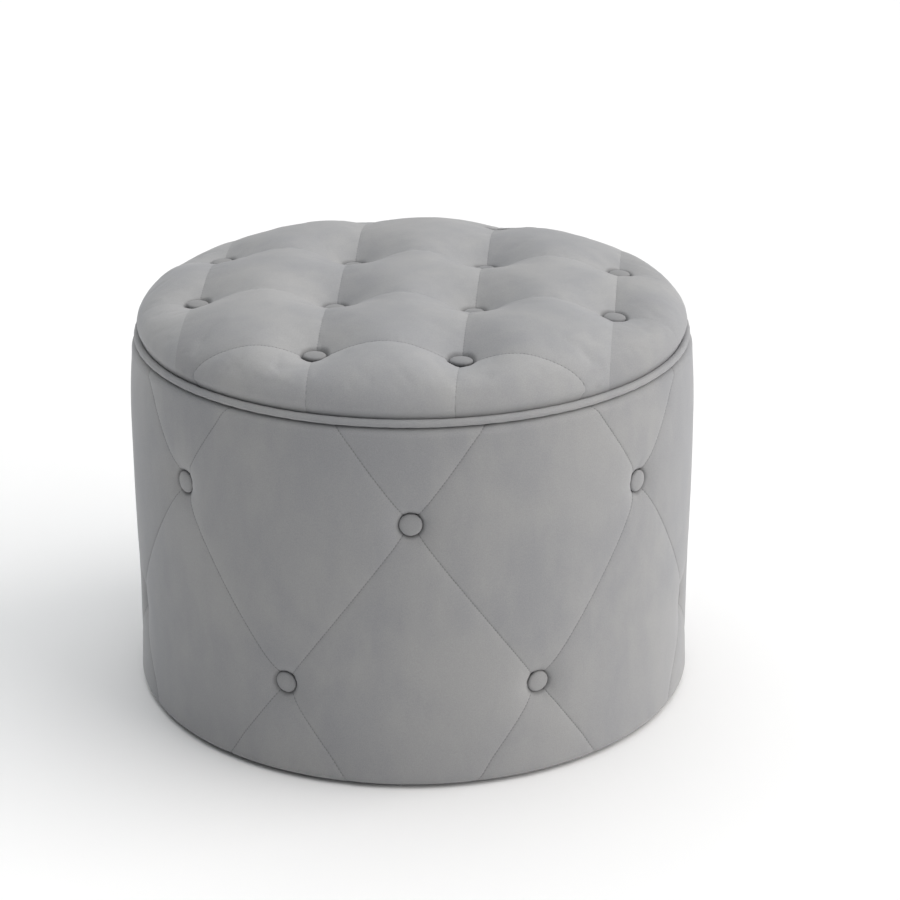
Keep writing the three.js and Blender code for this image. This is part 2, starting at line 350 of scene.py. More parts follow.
def make_studio():
    scene = bpy.context.scene
    scene.view_settings.view_transform = "Standard"
    world = bpy.data.worlds.new("studio")
    world.use_nodes = True
    sky = world.node_tree.nodes["Background"]
    sky.inputs["Color"].default_value = (0.95, 0.97, 1.0, 1)
    sky.inputs["Strength"].default_value = WORLD_LIGHT
    scene.world = world
    soft_sun("key", 80, 26, 70, KEY_LIGHT, (1.0, 0.965, 0.935))
    soft_sun("overhead", 175, 80, 80, OVERHEAD_LIGHT, (0.99, 1.0, 1.0))

    bpy.ops.mesh.primitive_plane_add(size=FLOOR_SIDE)
    floor = bpy.context.object
    floor.name = "studio_floor"
    graph = Graph("studio_floor", 0.9)
    tone = graph.shade(graph.noise(0.3, 3.0), (0.935, 0.935, 0.94), (0.955, 0.955, 0.952))
    floor.data.materials.append(graph.finish(tone))


# ---- Materials ----


class Graph:
    """A new material, with short ways to add and join its shader nodes."""

    def __init__(self, name, roughness):
        self.material = bpy.data.materials.new(name)
        self.material.use_nodes = True
        self.tree = self.material.node_tree
        self.shader = self.tree.nodes["Principled BSDF"].inputs
        self.shader["Roughness"].default_value = roughness
        self.place = self.node("TexCoord").outputs["Object"]

    def node(self, kind, **settings):
        made = self.tree.nodes.new("ShaderNode" + kind)
        for key, value in settings.items():
            setattr(made, key, value)
        return made

    def feed(self, socket, value):
        """Sets a socket to a number, or links another node's output to it."""
        if isinstance(value, (int, float)):
            socket.default_value = value
        else:
            self.tree.links.new(value, socket)

    def maths(self, operation, a, b=0.0):
        made = self.node("Math", operation=operation)
        self.feed(made.inputs[0], a)
        self.feed(made.inputs[1], b)
        return made.outputs[0]

    def plus(self, a, b):
        return self.maths("ADD", a, b)

    def minus(self, a, b):
        return self.maths("SUBTRACT", a, b)

    def times(self, a, b):
        return self.maths("MULTIPLY", a, b)

    def weigh(self, a, share_a, b, share_b):
        """The sum of two values, each times its share."""
        return self.plus(self.times(a, share_a), self.times(b, share_b))

    def ramp(self, value, low, high, at_low=0.0, at_high=1.0):
        """Maps a value from low..high to at_low..at_high, smoothly and clamped."""
        made = self.node("MapRange", interpolation_type="SMOOTHSTEP")
        for socket, number in zip(made.inputs, (value, low, high, at_low, at_high)):
            self.feed(socket, number)
        return made.outputs[0]

    def noise(self, size, detail=2.0, stretch=(1, 1, 1), distortion=0.0):
        """Noise from 0 to 1 with features about `size` metres across."""
        mapping = self.node("Mapping")
        mapping.inputs["Scale"].default_value = stretch
        self.feed(mapping.inputs["Vector"], self.place)
        made = self.node("TexNoise")
        made.inputs["Scale"].default_value = 1 / size
        made.inputs["Detail"].default_value = detail
        made.inputs["Distortion"].default_value = distortion
        self.feed(made.inputs["Vector"], mapping.outputs[0])
        return made.outputs["Fac"]

    def split(self, vector):
        """The outputs for the three parts of a vector."""
        made = self.node("SeparateXYZ")
        self.feed(made.inputs[0], vector)
        return made.outputs

    def cells(self, size, randomness=1.0):
        """Distance from the middles of cells about `size` metres across."""
        made = self.node("TexVoronoi", feature="F1")
        made.inputs["Scale"].default_value = 1 / size
        made.inputs["Randomness"].default_value = randomness
        self.feed(made.inputs["Vector"], self.place)
        return made.outputs["Distance"]

    def shade(self, factor, dark, light):
        """A colour between dark and light."""
        made = self.node("Mix", data_type="RGBA")
        self.feed(made.inputs["Factor"], factor)
        made.inputs["A"].default_value = (*dark, 1)
        made.inputs["B"].default_value = (*light, 1)
        return made.outputs["Result"]

    def darken(self, colour, amount, by):
        """Multiplies a colour by (1 - amount * by)."""
        made = self.node("VectorMath", operation="SCALE")
        self.feed(made.inputs[0], colour)
        self.feed(made.inputs["Scale"], self.minus(1.0, self.times(amount, by)))
        return made.outputs[0]

    def bump(self, height, distance, strength, under=None):
        """Gives the shader a bump, over another one's normal if there is one, and returns its normal."""
        made = self.node("Bump")
        made.inputs["Strength"].default_value = strength
        made.inputs["Distance"].default_value = distance
        self.feed(made.inputs["Height"], height)
        if under is not None:
            self.feed(made.inputs["Normal"], under)
        self.feed(self.shader["Normal"], made.outputs[0])
        return made.outputs[0]

    def finish(self, colour):
        """Gives the shader its colour and returns the material."""
        self.feed(self.shader["Base Color"], colour)
        return self.material


# A net of seams. spacing is the distance between neighbouring lines, and length the distance along a line
# for one unit of the other coordinate. wide and tall turn the sum and the difference of two offsets into
# distances. on_lid says that some seams are fainter than others, and gives the lid's pillows their painted
# shade.
Lattice = namedtuple("Lattice", "spacing length wide tall on_lid")

STITCH_PITCH = 3.6 * MM
SEAM_CREASE = 1.0 * MM  # half the width of a crease's shade
HOLE_CORE, HOLE_EDGE = 0.3 * MM, 0.9 * MM  # a needle hole is full within the first and gone at the second
BUTTON_SHADE_WIDTH = 5 * MM  # the width of the painted shade ring round a button


def lid_seam_shade(graph, u, v, across):
    """How plain the lid's seams are at each place, as in lid_seam_strength: across is 0 for the
    seams from front to back and 1 for the rows."""
    sideways = graph.maths("ABSOLUTE", graph.minus(u, 0.5))
    backwards = graph.maths("ABSOLUTE", graph.minus(v, 0.5))
    if across == 0:
        faint = graph.times(graph.ramp(sideways, *OUTER_LINE), graph.ramp(backwards, *COLUMN_END))
        plain = COLUMN_SEAM
    else:
        inner = graph.ramp(backwards, *OUTER_LINE, 1.0, 0.0)
        faint = graph.times(inner, graph.ramp(sideways, *ROW_END))
        plain = graph.ramp(v, -0.6, -0.5, 1.0, INNER_ROW_SEAM)
    return graph.times(graph.minus(1.0, graph.times(faint, SEAM_FADE)), plain)


def painted_pillow_shade(graph, u, v):
    """Painted shade on the lid's pillows behind the front row, standing in for the light from the right:
    darkest at each column's left seam, palest at its right.
    """
    sideways = graph.ramp(graph.maths("FRACT", u), 0.0, 1.0, 1.0, 0.0)
    return graph.times(sideways, graph.ramp(v, -1.02, -0.98, 0.35, 1.0))


def seam_marks(graph, net, u, v):
    """Creases, needle holes and the painted shade round buttons, each 0 to 1, from the two coordinates of the
    seam map.
    """
    creases, holes, offs = [], [], []
    for across, (coordinate, other) in enumerate(((u, v), (v, u))):
        off = graph.minus(graph.maths("FRACT", graph.plus(coordinate, 0.5)), 0.5)
        offs.append(off)
        distance = graph.times(graph.maths("ABSOLUTE", off), net.spacing)
        crease = graph.ramp(distance, 0.0, SEAM_CREASE, 1.0, 0.0)
        step = graph.maths("FRACT", graph.times(other, net.length / STITCH_PITCH))
        beat = graph.maths("ABSOLUTE", graph.minus(step, 0.5))
        hole = graph.times(graph.ramp(distance, HOLE_CORE, HOLE_EDGE, 1.0, 0.0),
                           graph.ramp(beat, 0.12, 0.26, 1.0, 0.0))
        if net.on_lid:
            shade = lid_seam_shade(graph, u, v, across)
            crease = graph.times(crease, shade)
            hole = graph.times(hole, shade)
        creases.append(crease)
        holes.append(hole)
    wide = graph.times(graph.plus(*offs), net.wide)
    tall = graph.times(graph.minus(*offs), net.tall)
    squares = graph.plus(graph.times(wide, wide), graph.times(tall, tall))
    button_shade = graph.ramp(graph.maths("SQRT", squares), BUTTON_R, BUTTON_R + BUTTON_SHADE_WIDTH, 1.0, 0.0)
    return graph.maths("MAXIMUM", *creases), graph.maths("MAXIMUM", *holes), button_shade


VELVET_DARK = (0.312, 0.315, 0.326)
VELVET_LIGHT = (0.368, 0.367, 0.367)
# How dark the painted shade on the lid's pillows is at each column's left seam.
PAINTED_PILLOW_SHADE = 0.13
# How dark the painted shade in the seams' creases and their needle holes is.
CREASE_SHADE = 0.07
HOLE_SHADE = 0.26
# How dark the painted shade round a button is, where the cloth dips into its hole.
SURROUND_SHADE = 0.38


def velvet(name, tone=1.0, seams=None):
    """Short-pile velvet: brushed patches, a fine pile and a soft sheen. seams is a Lattice or None."""
    graph = Graph(name, 0.88)
    graph.shader["Sheen Weight"].default_value = 0.35
    graph.shader["Sheen Roughness"].default_value = 0.45
    graph.shader["Sheen Tint"].default_value = (0.86, 0.87, 0.9, 1)
    graph.shader["Specular IOR Level"].default_value = 0.2
    patches = graph.noise(0.11, 3.0, (1, 1, 0.7), 0.6)
    brushed = graph.noise(0.018, 4.0, (1, 1, 0.45), 0.3)
    mottle = graph.weigh(patches, 0.72, brushed, 0.28)
    dark = [c * tone for c in VELVET_DARK]
    light = [c * tone for c in VELVET_LIGHT]
    colour = graph.shade(graph.ramp(mottle, 0.3, 0.7), dark, light)
    pile = graph.noise(0.0009, 2.0)
    tufts = graph.noise(0.0032, 3.0, (1, 1, 0.6))
    colour = graph.darken(colour, graph.ramp(pile, 0.35, 0.65, 1.0, 0.0), 0.09)
    under = graph.bump(tufts, 0.0005, 0.16)
    under = graph.bump(pile, 0.0003, 0.28, under)
    if seams:
        u, v, _ = graph.split(graph.node("UVMap", uv_map="seams").outputs[0])
        crease, holes, button_shade = seam_marks(graph, seams, u, v)
        if seams.on_lid:
            # Painted shade on the lid's pillows, for the light from the right.
            colour = graph.darken(colour, painted_pillow_shade(graph, u, v), PAINTED_PILLOW_SHADE)
        # Painted shade in the seams' creases and needle holes.
        colour = graph.darken(colour, crease, CREASE_SHADE)
        colour = graph.darken(colour, holes, HOLE_SHADE)
        # Painted shade round each button.
        colour = graph.darken(colour, button_shade, SURROUND_SHADE)
        sunk = graph.maths("MAXIMUM", graph.times(crease, 0.5), holes)
        graph.bump(graph.minus(1.0, sunk), 0.0008, 0.5, under)
    return graph.finish(colour)


def woven(name, dark, light, thread):
    """Plain woven cloth with threads about `thread` metres apart."""
    graph = Graph(name, 0.92)
    turn = math.tau / thread
    x, y, z = [graph.maths("SINE", graph.times(part, turn)) for part in graph.split(graph.place)]
    height = graph.ramp(graph.times(graph.plus(x, z), graph.plus(y, z)), -1.5, 1.5)
    slub = graph.noise(0.006, 3.0, (1, 1, 4))
    tone = graph.times(graph.plus(height, slub), 0.5)
    graph.bump(height, 0.0004, 0.35)
    return graph.finish(graph.shade(tone, dark, light))


def non_woven(name):
    """Black spun-bonded cloth with its pattern of small welded dots."""
    graph = Graph(name, 0.85)
    dots = graph.ramp(graph.cells(0.0022, 0.15), 0.1, 0.4)
    fibres = graph.noise(0.0015, 4.0)
    graph.bump(graph.plus(dots, graph.times(fibres, 0.5)), 0.0003, 0.4)
    return graph.finish(graph.shade(graph.ramp(fibres, 0.3, 0.7), (0.012, 0.012, 0.014), (0.04, 0.04, 0.044)))


PLY_THICKNESS = 1.5 * MM


def wood(name, dark, light, grain, plies=False):
    """Sawn or peeled wood: long grain along X, fine pores, darker streaks, and plies on cut edges."""
    graph = Graph(name, 0.62)
    lines = graph.noise(grain, 5.0, (0.06, 1, 1), 1.2)
    streaks = graph.noise(grain * 9, 3.0, (0.12, 1, 1), 0.8)
    tone = graph.weigh(lines, 0.65, streaks, 0.35)
    colour = graph.shade(graph.ramp(tone, 0.32, 0.68), dark, light)
    if plies:
        facing = graph.split(graph.node("NewGeometry").outputs["Normal"])[2]
        upright = graph.ramp(graph.maths("ABSOLUTE", facing), 0.3, 0.7, 1.0, 0.0)
        layer = graph.maths("PINGPONG", graph.split(graph.place)[2], PLY_THICKNESS)
        band = graph.ramp(layer, 0.4 * PLY_THICKNESS, 0.6 * PLY_THICKNESS)
        colour = graph.darken(colour, graph.times(upright, band), 0.38)
    graph.feed(graph.shader["Roughness"], graph.ramp(lines, 0.3, 0.7, 0.7, 0.5))
    graph.bump(lines, 0.0004, 0.3)
    return graph.finish(colour)


def foam_material(name):
    """Open-cell foam: pale, with fine cells."""
    graph = Graph(name, 0.95)
    height = graph.ramp(graph.cells(0.0018), 0.05, 0.5)
    graph.bump(height, 0.0008, 0.6)
    return graph.finish(graph.shade(height, (0.56, 0.5, 0.36), (0.86, 0.8, 0.64)))


def plastic(name):
    """Black moulded plastic with a fine spark texture and scuffs underneath."""
    graph = Graph(name, 0.5)
    scuffs = graph.noise(0.004, 4.0, (1, 0.3, 1))
    graph.feed(graph.shader["Roughness"], graph.ramp(scuffs, 0.4, 0.7, 0.42, 0.7))
    graph.bump(graph.noise(0.0006, 2.0), 0.0002, 0.3)
    worn = graph.ramp(scuffs, 0.5, 0.75)
    return graph.finish(graph.shade(worn, (0.016, 0.016, 0.018), (0.05, 0.05, 0.052)))


def zinc(name):
    """Zinc-plated steel, brushed by handling."""
    graph = Graph(name, 0.35)
    graph.shader["Metallic"].default_value = 1.0
    marks = graph.noise(0.0012, 4.0, (1, 1, 0.25))
    graph.feed(graph.shader["Roughness"], graph.ramp(marks, 0.3, 0.7, 0.25, 0.5))
    graph.bump(marks, 0.0001, 0.2)
    return graph.finish(graph.shade(marks, (0.48, 0.48, 0.46), (0.68, 0.69, 0.72)))


# ---- Drum cover: diamond panels drawn in at the buttons ----

FOOT_R = 9 * MM
FOOT_SAG = 3 * MM  # how far the padded edge hangs below the base
SAG_R = (271 * MM, 286 * MM)  # the sag grows between these radii
SAG_Z = (30 * MM, 4 * MM)  # and between these heights above the foot
ROLL_R = 9 * MM
FOLD_R = 255 * MM  # inner edge of the cloth under the base
HEM_R = LINING_HIGH.x - 3.5 * MM  # inner face of the cloth turned down inside the rim
HEM_Z = 336 * MM
HEM_CORNER = 3 * MM
ROW_GAP = UPPER_Z - LOWER_Z
BUTTON_STEP = math.tau * (OUTER_R - 2 * MM) / PER_ROW  # round the drum, button to button
WALL_CELL = 4.4 * MM
BEND_CELL = 1.6 * MM
FINE_REACH = 32 * MM  # the mesh is twice as fine this near a button's middle
SEAM_HALF = 1.5 * MM  # half the width of a sewn crease
SEAM_LINES = (-SEAM_HALF, 0, SEAM_HALF)  # a seam's two edges and its middle
CREASE_DEPTH, CREASE_HALF = 0.42 * MM, 0.9 * MM
VALLEY_DEPTH, VALLEY_HALF = 0.3 * MM, 5 * MM
RIM_LEAN = 1.9 * MM  # how far the drum leans in by its rim
SHOULDER_LEAN = 4.5 * MM  # and how much further its shoulder rounds over
SHOULDER_Z = 300 * MM
CALM_FOOT, CALM_RIM = 25 * MM, 22 * MM  # the relief dies out this near the foot and the rim
PUFF = 1.5 * MM  # how much the middle of a diamond stands above its seams
PUFF_POWER = 0.6
WALL_DIMPLE = 8.6 * MM  # how far a button draws the cloth in
BUTTON_SEAT = 3 * MM  # and how much further the cloth goes in right under it
SEAM_PULL = 0.8 * MM  # how much tighter the seams are near a button
GATHER = 0.35 * MM  # the small folds round a button
WALL_WANDER = 0.5 * MM

WALL_PATH = [
    line((FOLD_R, FOOT_Z), (OUTER_R - FOOT_R, FOOT_Z)),
    bend((OUTER_R - FOOT_R, FOOT_Z + FOOT_R), FOOT_R, -90, 90),
    line((OUTER_R, FOOT_Z + FOOT_R), (OUTER_R, RIM_Z - ROLL_R)),
    bend((OUTER_R - ROLL_R, RIM_Z - ROLL_R), ROLL_R, 0, 90),
    line((OUTER_R - ROLL_R, RIM_Z), (HEM_R + HEM_CORNER, RIM_Z)),
    bend((HEM_R + HEM_CORNER, RIM_Z - HEM_CORNER), HEM_CORNER, 90, 90),
    line((HEM_R, RIM_Z - HEM_CORNER), (HEM_R, HEM_Z)),
]
# Distance along the path where the upright wall begins, less its height there.
HEIGHT_SHIFT = WALL_PATH[0][0] + WALL_PATH[1][0] - (FOOT_Z + FOOT_R)
LATTICE_SPACING = 1 / math.hypot(1 / BUTTON_STEP, 1 / (2 * ROW_GAP))
LATTICE_LENGTH = math.hypot(BUTTON_STEP / 2, ROW_GAP)


def wall_rows():
    """Distances along the path for the rows of the sheet: close together on the bends."""
    rows, start = [], 0.0
    for index, (length, _) in enumerate(WALL_PATH):
        cell = BEND_CELL if index % 2 else WALL_CELL
        count = max(2, round(length / cell))
        rows += [start + length * i / count for i in range(count)]
        start += length
    return rows + [start]


def wall_sheet():
    """The cover laid flat, x round the drum and y along the path, with its seams cut in. Returns a bmesh."""
    columns = PER_ROW * round(BUTTON_STEP / WALL_CELL / 2) * 2
    flat = bmesh.new()
    grid = [[flat.verts.new((k * PER_ROW / columns * BUTTON_STEP, s, 0)) for k in range(columns + 1)]
            for s in wall_rows()]
    for low, high in zip(grid, grid[1:]):
        for k in range(columns):
            flat.faces.new((low[k], low[k + 1], high[k + 1], high[k]))
    refine(flat, flat_button_distance, FINE_REACH)
    for slope in (1, -1):
        across = Vector((2 * ROW_GAP, -slope * BUTTON_STEP, 0)).normalized()
        for k in range(-2, PER_ROW + 3):
            through = Vector((k * BUTTON_STEP, UPPER_Z + HEIGHT_SHIFT, 0))
            for shift in SEAM_LINES:
                cut(flat, through + across * shift, across)
    return flat


def lattice(p, height):
    """The two seam coordinates, whole numbers on the seams of each slant. p counts buttons round the drum."""
    slant = (height - UPPER_Z) / (2 * ROW_GAP)
    return p + slant, p - slant


def seam_offsets(p, height):
    """The distances to the nearest seam of each slant."""
    return [abs(c - round(c)) * LATTICE_SPACING for c in lattice(p, height)]


def from_button(p, height):
    """The nearest button, as the distances along and up from its middle, and the row it is in."""
    upper = ((p - round(p)) * BUTTON_STEP, height - UPPER_Z, 0)
    lower = ((p - 0.5 - round(p - 0.5)) * BUTTON_STEP, height - LOWER_Z, 1)
    return min(upper, lower, key=lambda place: math.hypot(place[0], place[1]))


def flat_place(co):
    """A point of the flat cover as buttons round the drum and height."""
    return co.x / BUTTON_STEP, co.y - HEIGHT_SHIFT


def flat_button_distance(co):
    """Distance in the flat cover from a point to the nearest button's middle."""
    along, up, _ = from_button(*flat_place(co))
    return math.hypot(along, up)


def shoulder(height):
    """How far the drum leans in on its way up to the rim."""
    over = max((height - SHOULDER_Z) / (RIM_Z - SHOULDER_Z), 0)
    return RIM_LEAN * height / RIM_Z + SHOULDER_LEAN * over ** 2


def wall_relief(p, height):
    """How far the cloth stands out from the plain outline, before its seams are drawn in."""
    a, b = lattice(p, height)
    along, up, row = from_button(p, height)
    d = math.hypot(along, up)
    rim = max(d - BUTTON_R, 0)
    on_wall = smooth(height, FOOT_Z - 2 * MM, FOOT_Z + CALM_FOOT) * smooth(-height, -RIM_Z, -RIM_Z + CALM_RIM)
    puff = PUFF * (math.sin(math.pi * (a % 1)) * math.sin(math.pi * (b % 1))) ** PUFF_POWER
    dimple = WALL_DIMPLE * (0.7 * math.exp(-rim / (10 * MM)) + 0.3 * math.exp(-rim / (30 * MM)))
    seat = BUTTON_SEAT * under_button(d, -1.5 * MM, 2 * MM)
    pull = SEAM_PULL * math.exp(-rim / (45 * MM)) * max(bell(off, 8 * MM) for off in seam_offsets(p, height))
    gather = GATHER * math.cos(9 * math.atan2(up, along) + 2.1 * row) * math.exp(-rim / (9 * MM))
    spot = (*polar(OUTER_R, p * math.tau / PER_ROW), height)
    wander = WALL_WANDER * soft_noise(spot, 0.09, 3.1)
    return (puff - PUFF - dimple - pull + wander) * on_wall - seat + gather


def wrap_wall(flat):
    """Wraps the flat cover round the drum and gives it its relief and its seam map."""
    write_seam_map(flat, lambda co: lattice(*flat_place(co)))
    for vert in flat.verts:
        p, height = flat_place(vert.co)
        (r, z), (nr, nz) = follow(WALL_PATH, vert.co.y)
        out = wall_relief(p, height) - sewn_depth(seam_offsets(p, height))
        angle = FRONT_BUTTON + p * math.tau / PER_ROW
        lean = shoulder(z) * smooth(r, HEM_R + 8 * MM, OUTER_R - ROLL_R)
        sag = FOOT_SAG * smooth(r, *SAG_R) * smooth(-z, -FOOT_Z - SAG_Z[0], -FOOT_Z - SAG_Z[1])
        r, z = r + nr * out - lean, z + nz * out - sag
        vert.co = (*polar(r, angle), z)
    bmesh.ops.remove_doubles(flat, verts=flat.verts, dist=1e-5)
    bmesh.ops.recalc_face_normals(flat, faces=flat.faces)


def make_wall_cover(material):
    flat = wall_sheet()
    wrap_wall(flat)
    mesh = mesh_from("wall_cover", flat)
    padded_piece("velvet_wall_cover", mesh, "base", material, "wall_cover", CLOTH)


# ---- Lid cover: pillows between the buttons ----

LID_EDGE_R = LID_HIGH.x - 3 * MM  # the widest place, where the crown turns down into the side
LID_EDGE_Z = 402 * MM
CROWN_POWER = 8
CROWN_ROUND = 1.6
PILLOW_R = 240 * MM  # the radius at which the changes below are in full
CROWN_DOME = 4.5 * MM  # how much lower the outer pillows are than the middle ones
FRONT_FULLER = 4.2 * MM  # how much fuller the front pillows are than the side ones
FRONT_R = (40 * MM, 214 * MM)
BACK_FLATTER = 8 * MM  # how much flatter the pillows behind the last row of buttons are
BACK_FLATTER_Y = (203 * MM, 242 * MM)
BACK_SHOULDER = 4 * MM  # how much flatter the pillows at the two sides of the back are
BACK_SHOULDER_Y = (60 * MM, 180 * MM)
BACK_SHOULDER_X = (40 * MM, 150 * MM)  # to either side of BACK_MIDDLE_X
BACK_MIDDLE_X = -30 * MM
LID_SIDE_R = 9 * MM
LID_SIDE_TURN = 40  # degrees
LID_FOOT_R = PIPING_RING_R - PIPING_R - 0.2 * MM
LID_FOOT_CORNER = 1.5 * MM
LID_TUCK_R = PIPING_RING_R - 2.6 * MM  # where the cover goes in behind the piping
LID_FOLD_R = 262 * MM
LID_CELLS = 132
LID_SIDE_CELL = 3.2 * MM
LID_FINE_REACH = 30 * MM
LID_BUTTON_LIFT = 5.5 * MM  # the covered buttons' faces stand this far above the plain ones
LID_BUTTON_EDGE_Z = max(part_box(name)[1].z for name in LID_BUTTONS) + 2 * MM
BACK_ROW_Y = (120 * MM, 190 * MM)  # the last row of buttons is beyond these
BACK_ROW_EASED = 3.5 * MM  # how much less the cover is drawn down there
BACK_ROW_LOWER = 2.5 * MM  # and how much lower the buttons are
TUFT_REACH = 70 * MM
TUFT_POWER = 1.8
TUFT_AT_EDGE = (1 - BUTTON_R / TUFT_REACH) ** TUFT_POWER  # a funnel's share of its depth at its button's edge
TUFT_GATHER = 0.4 * MM
BUTTON_HOLE = 6.5 * MM  # how much further the cover goes down under a button's edge
PILLOWS_END = (190 * MM, 286 * MM)  # the radii over which the pillows flatten into the side
SEAM_SINK = 4.2 * MM
SEAM_TAUT = 0.4  # the share of that depth left halfway between two buttons
SEAM_TIED = 42 * MM  # how far along a seam a button's pull reaches
SEAM_FADE = 0.85  # the seams beyond the outermost buttons are almost pulled flat
OUTER_LINE = (1.0, 1.1)  # grid steps from the middle that tell the inner seams from the outer ones
COLUMN_END = (0.5, 0.75)  # where the outer columns fade, in grid steps from the middle
ROW_END = (1.5, 1.7)  # and the inner rows
COLUMN_SEAM = 0.5  # how plain the seams from front to back are, next to the front row's
INNER_ROW_SEAM = 0.3  # and the rows behind the front one
LID_WANDER = 0.5 * MM


def crown_height(x, y):
    """The height of the smooth top that the pillows are drawn down from."""
    r = math.hypot(x, y)
    dome = CROWN_DOME * (r / PILLOW_R) ** 2
    fuller = FRONT_FULLER * max(-y, 0) / PILLOW_R * smooth(r, *FRONT_R)
    fuller -= BACK_FLATTER * smooth(y, *BACK_FLATTER_Y)
    fuller -= BACK_SHOULDER * smooth(y, *BACK_SHOULDER_Y) * smooth(abs(x - BACK_MIDDLE_X), *BACK_SHOULDER_X)
    edge = max(1 - (r / LID_EDGE_R) ** CROWN_POWER, 0) ** (1 / CROWN_ROUND)
    return LID_EDGE_Z + (CROWN_Z - LID_EDGE_Z - dome + fuller) * edge


def crown_lengths():
    """Radii and the distance over the crown from its middle to each."""
    radii = LID_EDGE_R * np.sin(np.linspace(0, math.pi / 2, 500))
    heights = np.array([crown_height(r, 0) for r in radii])
    steps = np.hypot(np.diff(radii), np.diff(heights))
    return radii, np.concatenate([[0], np.cumsum(steps)])


LID_SIDE_BEND = bend((LID_EDGE_R - LID_SIDE_R, LID_EDGE_Z), LID_SIDE_R, 0, -LID_SIDE_TURN)
LID_SIDE_LOW = LID_SIDE_BEND[1](LID_SIDE_BEND[0])[0]
LID_SIDE = [
    LID_SIDE_BEND,
    line(LID_SIDE_LOW, (LID_TUCK_R, PIPING_Z + PIPING_R)),
    line((LID_TUCK_R, PIPING_Z + PIPING_R), (LID_FOOT_R, PIPING_Z + LID_FOOT_CORNER)),
    line((LID_FOOT_R, PIPING_Z + LID_FOOT_CORNER), (LID_FOOT_R, LID_LOW.z + LID_FOOT_CORNER)),
    bend((LID_FOOT_R - LID_FOOT_CORNER, LID_LOW.z + LID_FOOT_CORNER), LID_FOOT_CORNER, 0, -90),
    line((LID_FOOT_R - LID_FOOT_CORNER, LID_LOW.z), (LID_FOLD_R, LID_LOW.z)),
]


def lid_lattice(x, y):
    """Grid coordinates on the lid: whole numbers on the seams."""
    u = (x * math.cos(LID_TURN) + y * math.sin(LID_TURN)) / LID_GRID
    v = (-x * math.sin(LID_TURN) + y * math.cos(LID_TURN)) / LID_GRID
    return u + 0.5, v + 0.5


def lid_seam_offsets(x, y):
    """The distances to the nearest seam of each kind."""
    return [abs(c - round(c)) * LID_GRID for c in lid_lattice(x, y)]


def at_back(y):
    """1 for the last row of lid buttons, which sits deeper, and 0 for the others."""
    return smooth(y, *BACK_ROW_Y)


def from_lid_button(point):
    """Distance on plan from a point to the nearest lid button's middle."""
    return min(math.hypot(point[0] - bx, point[1] - by) for bx, by in LID_PLACES)


def seam_valley(off):
    """The depth of the wide valley beside a seam, at a distance from it."""
    near = math.exp(-off / (12 * MM))
    wide = max(1 - off / (LID_GRID / 2), 0) ** 2
    return SEAM_SINK * (0.45 * near + 0.55 * wide)


def tuft_drop(x, y):
    """How far the top sinks below its smooth crown at (x, y)."""
    inside = 1 - smooth(math.hypot(x, y), *PILLOWS_END)
    tied = SEAM_TAUT + (1 - SEAM_TAUT) * bell(from_lid_button((x, y)), SEAM_TIED)
    drop = max(seam_valley(off) for off in lid_seam_offsets(x, y)) * (0.3 + 0.7 * inside) * tied
    for bx, by in LID_PLACES:
        d = math.hypot(x - bx, y - by)
        if d > TUFT_REACH:
            continue
        edge_z = LID_BUTTON_EDGE_Z + BACK_ROW_EASED * at_back(by)
        depth = (crown_height(bx, by) - 0.8 * SEAM_SINK - edge_z) / TUFT_AT_EDGE
        drop += depth * (1 - max(d, BUTTON_R) / TUFT_REACH) ** TUFT_POWER
        drop += TUFT_GATHER * math.cos(8 * math.atan2(y - by, x - bx) + 40 * bx) * math.exp(-d / (16 * MM))
    return drop + LID_WANDER * soft_noise((x, y, 0), 0.07, 1.7) * inside


def lid_sheet():
    """An all-quad disc over the crown, with rows added down the side and under the board."""
    radii, lengths = crown_lengths()
    points = []
    n = LID_CELLS
    for i in range(n + 1):
        for j in range(n + 1):
            u, v = 2 * i / n - 1, 2 * j / n - 1
            x, y = u * math.sqrt(1 - v * v / 2), v * math.sqrt(1 - u * u / 2)
            reach = math.hypot(x, y)
            r = float(np.interp(min(reach, 1) * lengths[-1], lengths, radii))
            angle = math.atan2(y, x) if reach > 0 else 0
            x, y = polar(r, angle)
            points.append((x, y, crown_height(x, y) - tuft_drop(x, y)))
    index = np.arange(len(points)).reshape(n + 1, n + 1).tolist()
    faces = [(index[i][j], index[i + 1][j], index[i + 1][j + 1], index[i][j + 1])
             for i in range(n) for j in range(n)]
    edge = [index[i][0] for i in range(n)] + [index[n][j] for j in range(n)]
    edge += [index[n - i][n] for i in range(n)] + [index[0][n - j] for j in range(n)]
    top = len(points)
    total = sum(length for length, _ in LID_SIDE)
    rows = max(8, round(total / LID_SIDE_CELL))
    previous = edge
    for row in range(1, rows + 1):
        (r, z), _ = follow(LID_SIDE, total * row / rows)
        current = []
        for vertex in edge:
            x, y, _ = points[vertex]
            current.append(len(points))
            points.append((*polar(r, math.atan2(y, x)), z))
        for k in range(len(edge)):
            m = (k + 1) % len(edge)
            faces.append((previous[m], previous[k], current[k], current[m]))
        previous = current
    return points, faces, top


def lid_seam_strength(across, back):
    """How plain the seams of each kind are at a place given in grid steps from the lid's middle."""
    column = 1 - SEAM_FADE * smooth(abs(across), *OUTER_LINE) * smooth(abs(back), *COLUMN_END)
    row = 1 - SEAM_FADE * smooth(-abs(back), -1.1, -1.0) * smooth(abs(across), *ROW_END)
    behind = smooth(back, -1.1, -1.0)
    return COLUMN_SEAM * column, row * (1 - behind + INNER_ROW_SEAM * behind)


